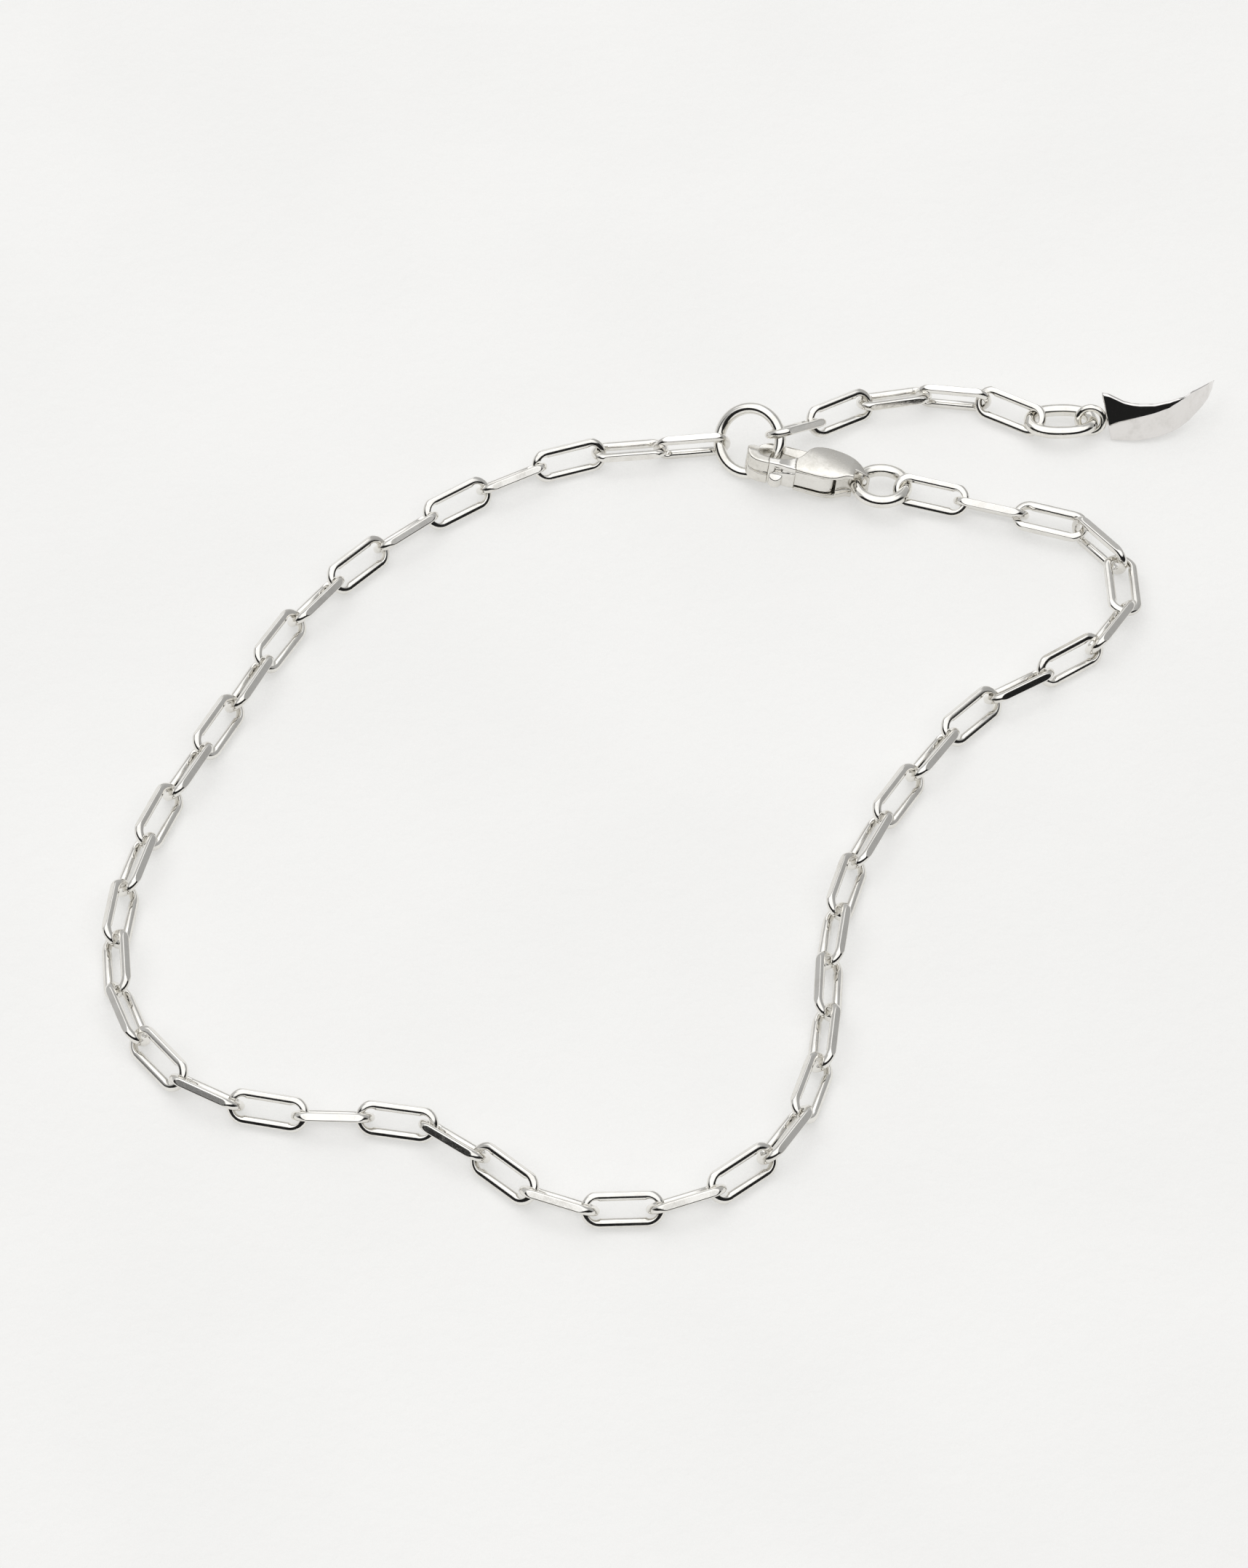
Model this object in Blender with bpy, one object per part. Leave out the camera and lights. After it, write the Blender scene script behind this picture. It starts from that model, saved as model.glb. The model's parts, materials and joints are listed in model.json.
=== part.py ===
# Paperclip chain bracelet, lying on a level surface at z = 0.
# Metres, +Z up, seen from the -Y side with the clasp at the far side.
import bmesh
import bpy
import numpy as np
from math import atan2, cos, pi, radians, sin, sqrt
from mathutils import Matrix, Vector

# Chain links: long flat-sided ovals of half-round wire with a flat outer side
MAIN_LINK_COUNT = 46
EXTENDER_LINK_COUNT = 5
LINK_LENGTH = 0.00467
LINK_WIDTH = 0.00195
LINK_WIRE_WIDTH = 0.00038
LINK_WIRE_DEPTH = 0.00050
LINK_CLEARANCE = 0.00009
RING_CLEARANCE = 0.00012
LINK_LEAN_DEG = 48.0
LINK_INNER_FLAT_SHARE = 0.40
LINK_SHOULDER_SHARE = 0.45
LINK_END_SEGMENTS = 5

# Round joining ring that holds both chain ends and the clasp hook
JOINING_RING_DIAMETER = 0.00450
JOINING_RING_WIRE = 0.00046
JOINING_RING_RISE_DEG = 40.0
JOINING_RING_TURN_DEG = 22.0
CHAIN_START_ON_RING_DEG = 184.0
EXTENDER_START_ON_RING_DEG = 13.0
HOOK_ON_RING_DEG = -28.0

# Lobster clasp, lying on its side with the nose lifted over the joining ring
CLASP_LENGTH = 0.00770
CLASP_PLATE_WIDTH = 0.00240
CLASP_THICKNESS = 0.00200
CLASP_HEADING_DEG = -15.5
CLASP_HOLE_LENGTH = 0.00262
CLASP_HOLE_WIDTH = 0.00140
CLASP_ARM_WIDTH = 0.00048
CLASP_SPINE_HEIGHT = 0.00112
CLASP_SPINE_SLOPE = 0.00030
CLASP_NOSE_UNDERCUT = 0.00030
CLASP_CHEEK = 0.00030
CLASP_RUNNING_GAP = 0.00008
LEVER_TIP_GAP = 0.00013
CLASP_REST_CLEARANCE = 0.00008

# Lever of the clasp, sprung against the inside of the nose
LEVER_TIP_FROM_NOSE = 0.00162
LEVER_PIVOT_FROM_NOSE = 0.00490
LEVER_PIN_DIAMETER = 0.00060
LEVER_EYE_WALL = 0.00028
LEVER_NUB_REACH = 0.00042
LEVER_NUB_LENGTH = 0.00092
LEVER_NUB_TOP_DROP = 0.00078
LEVER_GROOVE_DEPTH = 0.00012

# Eye in the tail of the clasp and the round ring that hangs in it
TAIL_EYE_WIDTH = 0.00062
TAIL_HOLE_DIAMETER = 0.00100
TAIL_END_WALL = 0.00032
CLASP_RING_DIAMETER = 0.00350
CLASP_RING_WIRE = 0.00052
CLASP_RING_FALL_DEG = 7.0
CLASP_RING_TURN_DEG = -6.0
CHAIN_END_ON_RING_DEG = -12.0

# Oval ring between the extender and the claw charm
CHARM_RING_LENGTH = 0.00445
CHARM_RING_WIDTH = 0.00305
CHARM_RING_WIRE = 0.00050
CHARM_RING_HEADING_DEG = 2.5
CHARM_RING_RISE_DEG = -1.0
CHARM_RING_LEAN_DEG = -8.0
CHARM_RING_SLACK = 0.00020

# Claw charm with its soldered bail
BAIL_DIAMETER = 0.00200
BAIL_WIRE = 0.00044
BAIL_RISE_DEG = 64.0
BAIL_SINK = 0.00030
BAIL_SLACK = 0.00036
CLAW_LENGTH = 0.00835
CLAW_BASE_WIDTH = 0.00205
CLAW_BASE_HEIGHT = 0.00215
CLAW_TIP_HEIGHT = 0.00080
CLAW_TIP_WIDTH = 0.00012
CLAW_BASE_SKEW_DEG = 22.0
CLAW_HEADING_DEG = -6.0
CLAW_TURN_DEG = 68.0
CLAW_STATIONS = 9

RING_SEGMENTS = 16
ROUTE_PRECISION = 1e-7
END_EASE_PITCHES = 1.05
RING_WIRE_SIDES = 6
SOLDER_SIDES = 12

# Route of the main chain from the joining ring round to the clasp ring.
# Columns: x and y in link pitches, twist in degrees, slack in percent of the pitch.
MAIN_ROUTE = [
    (1.54, 7.21, -66, 0), (0.72, 7.14, -42, 1), (-0.35, 7.04, -16, 2), (-2.26, 6.22, 0, 1),
    (-3.90, 4.96, 0, 0), (-5.26, 3.34, 0, 2), (-6.16, 1.58, 0, 3), (-7.06, -0.24, 0, 2),
    (-7.68, -2.18, 0, 3), (-7.67, -4.13, 0, 4), (-6.64, -5.80, 0, 3), (-4.80, -6.44, 0, 4),
    (-2.82, -6.68, 0, 7), (-1.35, -7.90, 0, 6), (0.54, -8.12, 0, 6), (2.16, -7.11, 0, 6),
    (2.92, -5.39, 0, 5), (3.08, -3.44, 0, 5), (3.52, -1.51, 0, 3), (4.50, 0.26, 0, 2),
    (5.76, 1.80, 1, 2), (7.42, 2.90, 8, 5), (7.93, 3.78, -30, 6), (7.84, 4.70, -48, 6),
    (7.28, 5.38, -24, 7), (6.37, 5.68, -86, 6), (5.43, 5.95, -72, 3),
    (4.48, 6.19, -108, 4),
]

# Route of the extender from the joining ring to the charm ring
EXTENDER_ROUTE = [
    (2.54, 7.07, 14, 9), (3.13, 7.64, 4, 9), (4.02, 8.17, 2, 1),
    (4.93, 8.32, 46, 9), (5.96, 8.17, 62, 1), (6.78, 7.69, 126, 7),
]

POLISHED_SILVER = ("polished_silver", (0.90, 0.89, 0.86), 0.10)
SATIN_SILVER = ("satin_silver", (0.84, 0.83, 0.80), 0.32)
BRIGHT_SILVER = ("bright_silver", (0.93, 0.92, 0.89), 0.08)

link_pitch = LINK_LENGTH - 2 * LINK_WIRE_WIDTH - LINK_CLEARANCE
up = Vector((0, 0, 1))


def metal(finish):
    name, colour, roughness = finish
    material = bpy.data.materials.get(name) or bpy.data.materials.new(name)
    material.use_nodes = True
    shader = material.node_tree.nodes["Principled BSDF"]
    shader.inputs["Base Color"].default_value = (*colour, 1)
    shader.inputs["Metallic"].default_value = 1.0
    shader.inputs["Roughness"].default_value = roughness
    return material


def add_object(name, mesh, finish, placing=None):
    thing = bpy.data.objects.new(name, mesh)
    bpy.context.scene.collection.objects.link(thing)
    if finish is None:
        thing.hide_render = True
        thing.display_type = "WIRE"
    elif not mesh.materials:
        mesh.materials.append(metal(finish))
    if placing is not None:
        thing.matrix_world = placing
    return thing


def mesh_from_rows(name, rows, closed_loop):
    # Skins a row of like sections, and caps the ends of an open row
    bm = bmesh.new()
    grid = [[bm.verts.new(point) for point in row] for row in rows]
    sides = len(rows[0])
    count = len(rows) if closed_loop else len(rows) - 1
    for i in range(count):
        here, there = grid[i], grid[(i + 1) % len(rows)]
        for k in range(sides):
            n = (k + 1) % sides
            bm.faces.new((here[k], here[n], there[n], there[k]))
    if not closed_loop:
        bm.faces.new(reversed(grid[0]))
        bm.faces.new(grid[-1])
    bmesh.ops.recalc_face_normals(bm, faces=bm.faces)
    mesh = bpy.data.meshes.new(name)
    bm.to_mesh(mesh)
    bm.free()
    return mesh


def prism(name, outline, low, high):
    rows = [[(x, y, z) for x, y in outline] for z in (low, high)]
    return mesh_from_rows(name, rows, closed_loop=False)


def rod(name, start, end, radius, sides):
    # A straight round bar between two points
    axis = (Vector(end) - Vector(start)).normalized()
    across = axis.orthogonal().normalized()
    other = axis.cross(across)
    turns = [2 * pi * k / sides for k in range(sides)]
    ring = [radius * (cos(a) * across + sin(a) * other) for a in turns]
    rows = [[Vector(centre) + offset for offset in ring] for centre in (start, end)]
    return mesh_from_rows(name, rows, closed_loop=False)


def boolean(thing, operation, mesh, placing=None):
    tool = add_object(f"{thing.name}_{operation.lower()}_tool", mesh, None, placing)
    step = thing.modifiers.new(operation.title(), "BOOLEAN")
    step.operation = operation
    step.solver = "EXACT"
    step.object = tool
    return tool


def stadium_path(length, width, end_segments):
    # Centre line of an oval with straight sides: points and outward directions
    radius = width / 2
    reach = length / 2 - radius
    path = []
    for end in (1, -1):
        for k in range(end_segments + 1):
            angle = pi * (k / end_segments - 0.5)
            out = Vector((end * cos(angle), end * sin(angle), 0))
            path.append((Vector((end * reach, 0, 0)) + radius * out, out))
    return path


def wire_mesh(name, path, section):
    # Sweeps a section of (outward, sideways) pairs along a closed flat path
    rows = [[point + r * out + s * up for r, s in section] for point, out in path]
    return mesh_from_rows(name, rows, closed_loop=True)


def round_section(diameter, sides):
    turns = [2 * pi * (k + 0.5) / sides for k in range(sides)]
    return [(diameter / 2 * cos(a), diameter / 2 * sin(a)) for a in turns]


def link_mesh():
    half_w = LINK_WIRE_WIDTH / 2
    half_d = LINK_WIRE_DEPTH / 2
    shoulder = half_w - LINK_SHOULDER_SHARE * LINK_WIRE_WIDTH
    inner = half_d * LINK_INNER_FLAT_SHARE
    section = [
        (half_w, half_d), (shoulder, half_d), (-half_w, inner),
        (-half_w, -inner), (shoulder, -half_d), (half_w, -half_d),
    ]
    length = LINK_LENGTH - LINK_WIRE_WIDTH
    width = LINK_WIDTH - LINK_WIRE_WIDTH
    mesh = wire_mesh("link", stadium_path(length, width, LINK_END_SEGMENTS), section)
    mesh.materials.append(metal(POLISHED_SILVER))
    return mesh


def ring_mesh(name, length, width, wire):
    path = stadium_path(length - wire, width - wire, RING_SEGMENTS // 2)
    if length == width:
        turns = [2 * pi * k / RING_SEGMENTS for k in range(RING_SEGMENTS)]
        outs = [Vector((cos(a), sin(a), 0)) for a in turns]
        path = [((length - wire) / 2 * out, out) for out in outs]
    mesh = wire_mesh(name, path, round_section(wire, RING_WIRE_SIDES))
    mesh.materials.append(metal(BRIGHT_SILVER))
    return mesh


def frame_matrix(origin, x_axis, z_hint):
    # A placing whose X runs along x_axis and whose Z is as near z_hint as it can be
    x = x_axis.normalized()
    y = z_hint.cross(x).normalized()
    z = x.cross(y)
    rotation = Matrix((x, y, z)).transposed().to_4x4()
    return Matrix.Translation(origin) @ rotation


# Smooth curve through the route points
class Route:
    def __init__(self, rows):
        self.rows = np.array(rows, float)
        steps = np.linalg.norm(np.diff(self.rows[:, :2], axis=0), axis=1)
        self.knots = np.concatenate([[0], np.cumsum(steps)])
        self.slopes = self.tangents()

    def tangents(self):
        # Natural spline slopes at the knots
        n = len(self.knots)
        h = np.diff(self.knots)
        a = np.zeros((n, n))
        b = np.zeros((n, self.rows.shape[1]))
        rise = np.diff(self.rows, axis=0) / h[:, None]
        a[0, :2] = (2, 1)
        a[-1, -2:] = (1, 2)
        b[0] = 3 * rise[0]
        b[-1] = 3 * rise[-1]
        for i in range(1, n - 1):
            a[i, i - 1] = h[i]
            a[i, i] = 2 * (h[i - 1] + h[i])
            a[i, i + 1] = h[i - 1]
            b[i] = 3 * (h[i] * rise[i - 1] + h[i - 1] * rise[i])
        return np.linalg.solve(a, b)

    def at(self, s):
        i = int(np.clip(np.searchsorted(self.knots, s) - 1, 0, len(self.knots) - 2))
        h = self.knots[i + 1] - self.knots[i]
        t = (s - self.knots[i]) / h
        t2, t3 = t * t, t * t * t
        start, end = self.rows[i], self.rows[i + 1]
        return ((2 * t3 - 3 * t2 + 1) * start + (t3 - 2 * t2 + t) * h * self.slopes[i]
                + (3 * t2 - 2 * t3) * end + (t3 - t2) * h * self.slopes[i + 1])

    def length(self):
        return self.knots[-1]


def rest_height(lean_deg):
    # Height of a link's centre when it leans by this angle with its edge on the surface
    lean = radians(lean_deg)
    return LINK_WIDTH / 2 * abs(sin(lean)) + LINK_WIRE_DEPTH / 2 * abs(cos(lean))


def lean_of(index, twist):
    return twist + (LINK_LEAN_DEG if index % 2 else -LINK_LEAN_DEG)


def chain_height(s, ends):
    # Rest height of the chain, eased up or down to the height of each end
    base = rest_height(LINK_LEAN_DEG)
    height = base
    reach = END_EASE_PITCHES
    for distance, end in ends(s):
        if end is not None and distance < reach:
            blend = (1 - distance / reach) ** 2 * (1 + 2 * distance / reach)
            height += (end - base) * blend
    return height


def chain_points(route, count, start, hold, end=None, route_scale=None):
    # Steps one link after the other along the route. Start and end are wire centres of rings,
    # and hold is how far the first and last joint sit behind them.
    total = route.length()
    first = Vector(route.at(0)[:2])
    last = Vector(route.at(total)[:2])

    def ends(s):
        return ((s, start.z), (total - s, end.z if end else None))

    def place(s, scale):
        x, y, twist, slack = route.at(s)
        flat = start.xy + scale * (Vector((x, y)) - first)
        if end:
            flat += (end.xy - start.xy - scale * (last - first)) * s / total
        return Vector((*flat, chain_height(s, ends))), twist, link_pitch * (1 - slack / 100)

    def step_along(scale):
        points = [place(0, scale)]
        s = 0.0
        for i in range(count):
            low, high = s, s + 2
            held = hold if i == 0 else 0
            while high - low > ROUTE_PRECISION:
                middle = (low + high) / 2
                point, _, step = place(middle, scale)
                if (point - points[-1][0]).length < step - held:
                    low = middle
                else:
                    high = middle
            s = low
            points.append(place(s, scale))
        return s, points

    if end is None:
        scale = route_scale
        points = step_along(scale)[1]
        set_back(points, 0, 1, hold)
        return points, scale
    low, high = 0.8 * link_pitch, 1.2 * link_pitch
    while high - low > ROUTE_PRECISION * link_pitch:
        scale = (low + high) / 2
        reached, points = step_along(scale)
        if reached > total + hold / scale:
            low = scale
        else:
            high = scale
    set_back(points, 0, 1, hold)
    return points, scale


def set_back(points, i, neighbour, hold):
    # Moves one end joint away from its neighbour
    joint, twist, step = points[i]
    along = (joint - points[neighbour][0]).normalized()
    points[i] = (joint + hold * along, twist, step)


def add_chain(prefix, mesh, points):
    for i in range(len(points) - 1):
        (a, twist_a, _), (b, twist_b, _) = points[i], points[i + 1]
        along = (b - a).normalized()
        level = up.cross(along).normalized()
        rise = along.cross(level)
        lean = radians(lean_of(i, (twist_a + twist_b) / 2))
        across = cos(lean) * level + sin(lean) * rise
        normal = along.cross(across)
        placing = frame_matrix((a + b) / 2, along, normal)
        add_object(f"{prefix}_{i + 1:02d}", mesh, POLISHED_SILVER, placing)


def ring_axes():
    # Right and rising directions of the joining ring's plane
    turn = radians(JOINING_RING_TURN_DEG)
    rise = radians(JOINING_RING_RISE_DEG)
    rising = Vector((0, cos(rise), sin(rise)))
    toward = Vector((0, -sin(rise), cos(rise)))
    right = cos(turn) * Vector((1, 0, 0)) + sin(turn) * toward
    return right, rising


def ring_point(angle_deg, radius):
    right, rising = ring_axes()
    angle = radians(angle_deg)
    return joining_centre() + radius * (cos(angle) * right + sin(angle) * rising)


def joining_radius():
    return (JOINING_RING_DIAMETER - JOINING_RING_WIRE) / 2


def joining_centre():
    right, rising = ring_axes()
    slope = sqrt(right.z ** 2 + rising.z ** 2)
    height = joining_radius() * slope + JOINING_RING_WIRE / 2
    x, y = MAIN_ROUTE[0][0] * link_pitch, MAIN_ROUTE[0][1] * link_pitch
    angle = radians(CHAIN_START_ON_RING_DEG)
    offset = joining_radius() * (cos(angle) * right + sin(angle) * rising)
    return Vector((x - offset.x, y - offset.y, height))


def add_joining_ring():
    right, rising = ring_axes()
    mesh = ring_mesh("joining_ring", JOINING_RING_DIAMETER, JOINING_RING_DIAMETER,
                     JOINING_RING_WIRE)
    placing = frame_matrix(joining_centre(), right, right.cross(rising))
    return add_object("joining_ring", mesh, BRIGHT_SILVER, placing)


# Plan of the clasp in its own frame: X from nose to tail, Y from lever side to spine side
def front_edge(x):
    # Nearly straight side that carries the lever
    return -0.10 * CLASP_ARM_WIDTH + 0.05 * CLASP_ARM_WIDTH * cos(2 * pi * x / CLASP_LENGTH)


def spine_inner():
    return front_edge(0) + CLASP_ARM_WIDTH + CLASP_HOLE_WIDTH


def nose_wall():
    return CLASP_ARM_WIDTH * 1.15


def hook_path():
    # Centre line of the hook from inside the plate, along the spine, round the nose to its tip
    half = CLASP_ARM_WIDTH / 2
    spine_y = spine_inner() + half
    tip_y = front_edge(0) + half
    radius = (spine_y - tip_y) / 2
    centre = Vector((nose_wall() + radius - half, (spine_y + tip_y) / 2))
    hole_end = nose_wall() + CLASP_HOLE_LENGTH
    tip_x = LEVER_TIP_FROM_NOSE - LEVER_TIP_GAP
    path = [(hole_end + CLASP_ARM_WIDTH, spine_y - half * 0.4, 0.0)]
    path.append(((hole_end + centre.x) / 2, spine_y, 0.0))
    for k in range(7):
        angle = pi / 2 + pi * k / 6
        path.append((centre.x + radius * cos(angle), centre.y + radius * sin(angle), k / 6))
    path.append((tip_x, tip_y, 1.0))
    return path


def hook_mesh():
    path = hook_path()
    half = CLASP_ARM_WIDTH / 2
    rows = []
    for i, (x, y, share) in enumerate(path):
        before = Vector(path[max(i - 1, 0)][:2])
        after = Vector(path[min(i + 1, len(path) - 1)][:2])
        along = (after - before).normalized()
        if i in (0, len(path) - 1):
            along = Vector((-1, 0)) if i == 0 else Vector((1, 0))
        outer = Vector((along.y, -along.x))
        blend = share * share * (3 - 2 * share)
        outer_top = CLASP_SPINE_HEIGHT + (CLASP_THICKNESS - CLASP_SPINE_HEIGHT) * blend
        inner_top = outer_top - CLASP_SPINE_SLOPE * (1 - blend)
        bottom = CLASP_NOSE_UNDERCUT * sin(0.9 * pi * share)
        centre = Vector((x, y))
        outside = centre + half * outer
        inside = centre - half * outer
        rows.append([(outside.x, outside.y, bottom), (inside.x, inside.y, bottom),
                     (inside.x, inside.y, inner_top), (outside.x, outside.y, outer_top)])
    return mesh_from_rows("clasp_hook", rows, closed_loop=False)


def plate_outline():
    # Plan of the wide half of the clasp, from the hole to the eye in its tail
    start = nose_wall() + CLASP_HOLE_LENGTH
    front = front_edge(0)
    tail_x = CLASP_LENGTH - TAIL_END_WALL - TAIL_HOLE_DIAMETER * 1.25
    tail_low = front + CLASP_PLATE_WIDTH * 0.30
    tail_high = tail_low + TAIL_EYE_WIDTH
    back = front + CLASP_PLATE_WIDTH
    span = tail_x - start
    outline = [
        (start, front), (start + 0.45 * span, front), (start + 0.75 * span, front + 0.02 * back),
        (start + 0.92 * span, front + 0.35 * (tail_low - front)), (tail_x, tail_low),
        (CLASP_LENGTH - 0.4 * TAIL_END_WALL, tail_low),
        (CLASP_LENGTH, tail_low + TAIL_EYE_WIDTH / 3),
        (CLASP_LENGTH, tail_high - TAIL_EYE_WIDTH / 3),
        (CLASP_LENGTH - 0.4 * TAIL_END_WALL, tail_high),
        (tail_x + 0.12 * span, tail_high + 0.10 * (back - tail_high)),
        (tail_x - 0.12 * span, tail_high + 0.55 * (back - tail_high)),
        (start + 0.68 * span, back - 0.10 * (back - tail_high)), (start + 0.42 * span, back),
        (start + 0.18 * span, back - 0.04 * back), (start, back - 0.14 * back),
    ]
    return outline


def clasp_base_lift():
    # Height of the nose's underside where the joining ring passes below it
    heading = Matrix.Rotation(radians(CLASP_HEADING_DEG), 2)
    hook = ring_point(HOOK_ON_RING_DEG, joining_radius())
    anchor = hook_anchor()
    highest = 0.0
    for step in range(180):
        point = ring_point(-2.0 * step, joining_radius())
        local = heading.transposed() @ (point.xy - hook.xy) + anchor
        under = -JOINING_RING_WIRE < local.x < nose_wall() + JOINING_RING_WIRE / 4
        if under and local.y < spine_inner() and point.z < joining_centre().z:
            highest = max(highest, point.z)
    return highest + JOINING_RING_WIRE / 2 + CLASP_REST_CLEARANCE


def hook_anchor():
    # Point in the clasp's hole that the joining ring passes through
    return Vector((LEVER_TIP_FROM_NOSE + 0.6 * CLASP_ARM_WIDTH, front_edge(0) + 1.1 * CLASP_HOLE_WIDTH))


def clasp_placing():
    hook = ring_point(HOOK_ON_RING_DEG, joining_radius())
    lift = clasp_base_lift()
    rest_x = CLASP_LENGTH
    pitch = atan2(lift, rest_x - nose_wall())
    heading = Matrix.Rotation(radians(CLASP_HEADING_DEG), 4, "Z")
    tilt = Matrix.Rotation(pitch, 4, "Y")
    turn = heading @ tilt
    anchor = hook_anchor()
    lowest = rest_x * sin(pitch)
    flat = heading @ Vector((anchor.x * cos(pitch), anchor.y, 0))
    return Matrix.Translation((hook.x - flat.x, hook.y - flat.y, lowest)) @ turn


def lever_pivot():
    depth = LEVER_PIN_DIAMETER / 2 + LEVER_EYE_WALL + CLASP_CHEEK / 2
    return Vector((LEVER_PIVOT_FROM_NOSE, front_edge(0) + depth, 0))


def lever_eye_radius():
    return LEVER_PIN_DIAMETER / 2 + CLASP_RUNNING_GAP + LEVER_EYE_WALL


def slot_heights():
    return CLASP_CHEEK, CLASP_THICKNESS - CLASP_CHEEK


def add_clasp_body(placing):
    start = nose_wall() + CLASP_HOLE_LENGTH
    body = add_object("clasp_body", prism("clasp_body", plate_outline(), 0, CLASP_THICKNESS),
                      SATIN_SILVER, placing)
    boolean(body, "UNION", hook_mesh(), placing)
    pivot = lever_pivot()
    low, high = slot_heights()
    reach = lever_eye_radius() + CLASP_RUNNING_GAP
    slot = [
        (start - CLASP_LENGTH, -CLASP_LENGTH), (pivot.x + reach, -CLASP_LENGTH),
        (pivot.x + reach, pivot.y + 0.5 * reach), (pivot.x + 0.5 * reach, pivot.y + reach),
        (start - 0.2 * reach, pivot.y + reach + 0.45 * CLASP_ARM_WIDTH),
        (start - CLASP_LENGTH, pivot.y + reach + 0.45 * CLASP_ARM_WIDTH),
    ]
    boolean(body, "DIFFERENCE", slot_mesh(slot, low, high, start), placing)
    pin_low = Vector((pivot.x, pivot.y, CLASP_CHEEK / 2))
    pin_high = Vector((pivot.x, pivot.y, CLASP_THICKNESS - CLASP_CHEEK / 2))
    pin = rod("clasp_pin", pin_low, pin_high, LEVER_PIN_DIAMETER / 2, SOLDER_SIDES)
    boolean(body, "UNION", pin, placing)
    hole_x = CLASP_LENGTH - TAIL_END_WALL - TAIL_HOLE_DIAMETER / 2
    middle = CLASP_THICKNESS / 2
    hole = rod("tail_hole", (hole_x, -CLASP_LENGTH, middle), (hole_x, CLASP_LENGTH, middle),
               TAIL_HOLE_DIAMETER / 2, SOLDER_SIDES)
    boolean(body, "DIFFERENCE", hole, placing)
    return body


def slot_mesh(outline, low, high, start):
    # The slot is cut in the plate only, so it begins where the hook's own stretch ends
    kept = [(max(x, start - 0.3 * CLASP_ARM_WIDTH), y) for x, y in outline]
    return prism("clasp_slot", kept, low, high)


def lever_outline(outer_shift):
    # Plan of the arm from its tip to the plate's edge
    front = front_edge(0)
    tip = LEVER_TIP_FROM_NOSE
    end = nose_wall() + CLASP_HOLE_LENGTH - CLASP_RUNNING_GAP
    middle = (tip + end) / 2
    width = CLASP_ARM_WIDTH
    return [
        (tip, front + outer_shift), (middle, front + outer_shift), (end, front + outer_shift),
        (end, front + 2.0 * width), (middle, front + 1.35 * width), (tip, front + width),
    ]


def add_lever(placing):
    pivot = lever_pivot()
    low, high = slot_heights()
    low += CLASP_RUNNING_GAP
    high -= CLASP_RUNNING_GAP
    groove_low = CLASP_THICKNESS - LEVER_NUB_TOP_DROP
    groove_high = CLASP_THICKNESS - CLASP_CHEEK
    step = CLASP_RUNNING_GAP / 2
    layers = [
        (low * 0.5, 0), (groove_low, 0), (groove_low + step, LEVER_GROOVE_DEPTH),
        (groove_high - step, LEVER_GROOVE_DEPTH), (groove_high, 0), (CLASP_THICKNESS, 0),
    ]
    rows = [[(x - pivot.x, y - pivot.y, z) for x, y in lever_outline(shift)] for z, shift in layers]
    arm = mesh_from_rows("clasp_lever", rows, closed_loop=False)
    at_pivot = placing @ Matrix.Translation(pivot)
    lever = add_object("clasp_lever", arm, POLISHED_SILVER, at_pivot)

    front = front_edge(0)
    width = CLASP_ARM_WIDTH
    end = nose_wall() + CLASP_HOLE_LENGTH
    eye = lever_eye_radius()
    root = [
        (end - 1.4 * width - pivot.x, front + 0.02 * width - pivot.y),
        (0.0, -eye), (0.7 * eye, -0.7 * eye), (eye, 0.0), (0.7 * eye, 0.7 * eye), (0.0, eye),
        (end - 0.2 * width - pivot.x, front + 1.7 * width - pivot.y),
        (end - 1.4 * width - pivot.x, front + 1.2 * width - pivot.y),
    ]
    boolean(lever, "UNION", prism("lever_root", root, low, high), at_pivot)
    bore = rod("lever_bore", (0, 0, -CLASP_THICKNESS), (0, 0, 2 * CLASP_THICKNESS),
               LEVER_PIN_DIAMETER / 2 + CLASP_RUNNING_GAP, SOLDER_SIDES)
    boolean(lever, "DIFFERENCE", bore, at_pivot)
    nub_start = LEVER_TIP_FROM_NOSE - pivot.x
    reach = front - LEVER_NUB_REACH - pivot.y
    inside = front + 0.5 * width - pivot.y
    nub = [
        (nub_start + 0.02 * width, inside), (nub_start + 0.02 * width, reach + 0.25 * LEVER_NUB_REACH),
        (nub_start + 0.22 * LEVER_NUB_LENGTH, reach), (nub_start + 0.62 * LEVER_NUB_LENGTH, reach),
        (nub_start + LEVER_NUB_LENGTH, reach + 0.45 * LEVER_NUB_REACH),
        (nub_start + LEVER_NUB_LENGTH, inside),
    ]
    boolean(lever, "UNION", prism("lever_nub", nub, low * 0.8, groove_low - step), at_pivot)
    return lever


def add_clasp_ring(placing):
    hole_x = CLASP_LENGTH - TAIL_END_WALL - TAIL_HOLE_DIAMETER / 2
    eye_y = front_edge(0) + CLASP_PLATE_WIDTH * 0.30 + TAIL_EYE_WIDTH / 2
    eye = placing @ Vector((hole_x, eye_y, CLASP_THICKNESS / 2))
    radius = (CLASP_RING_DIAMETER - CLASP_RING_WIRE) / 2
    turn = radians(CLASP_RING_TURN_DEG)
    away = Vector((cos(turn), sin(turn), 0))
    centre = eye + radius * away
    mesh = ring_mesh("clasp_ring", CLASP_RING_DIAMETER, CLASP_RING_DIAMETER, CLASP_RING_WIRE)
    fall = radians(CLASP_RING_FALL_DEG)
    normal = Vector((0, sin(fall), cos(fall)))
    add_object("clasp_ring", mesh, BRIGHT_SILVER, frame_matrix(centre, away, normal))
    angle = radians(CHAIN_END_ON_RING_DEG)
    return centre + radius * Vector((cos(angle), sin(angle), -sin(angle) * sin(fall)))


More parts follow.
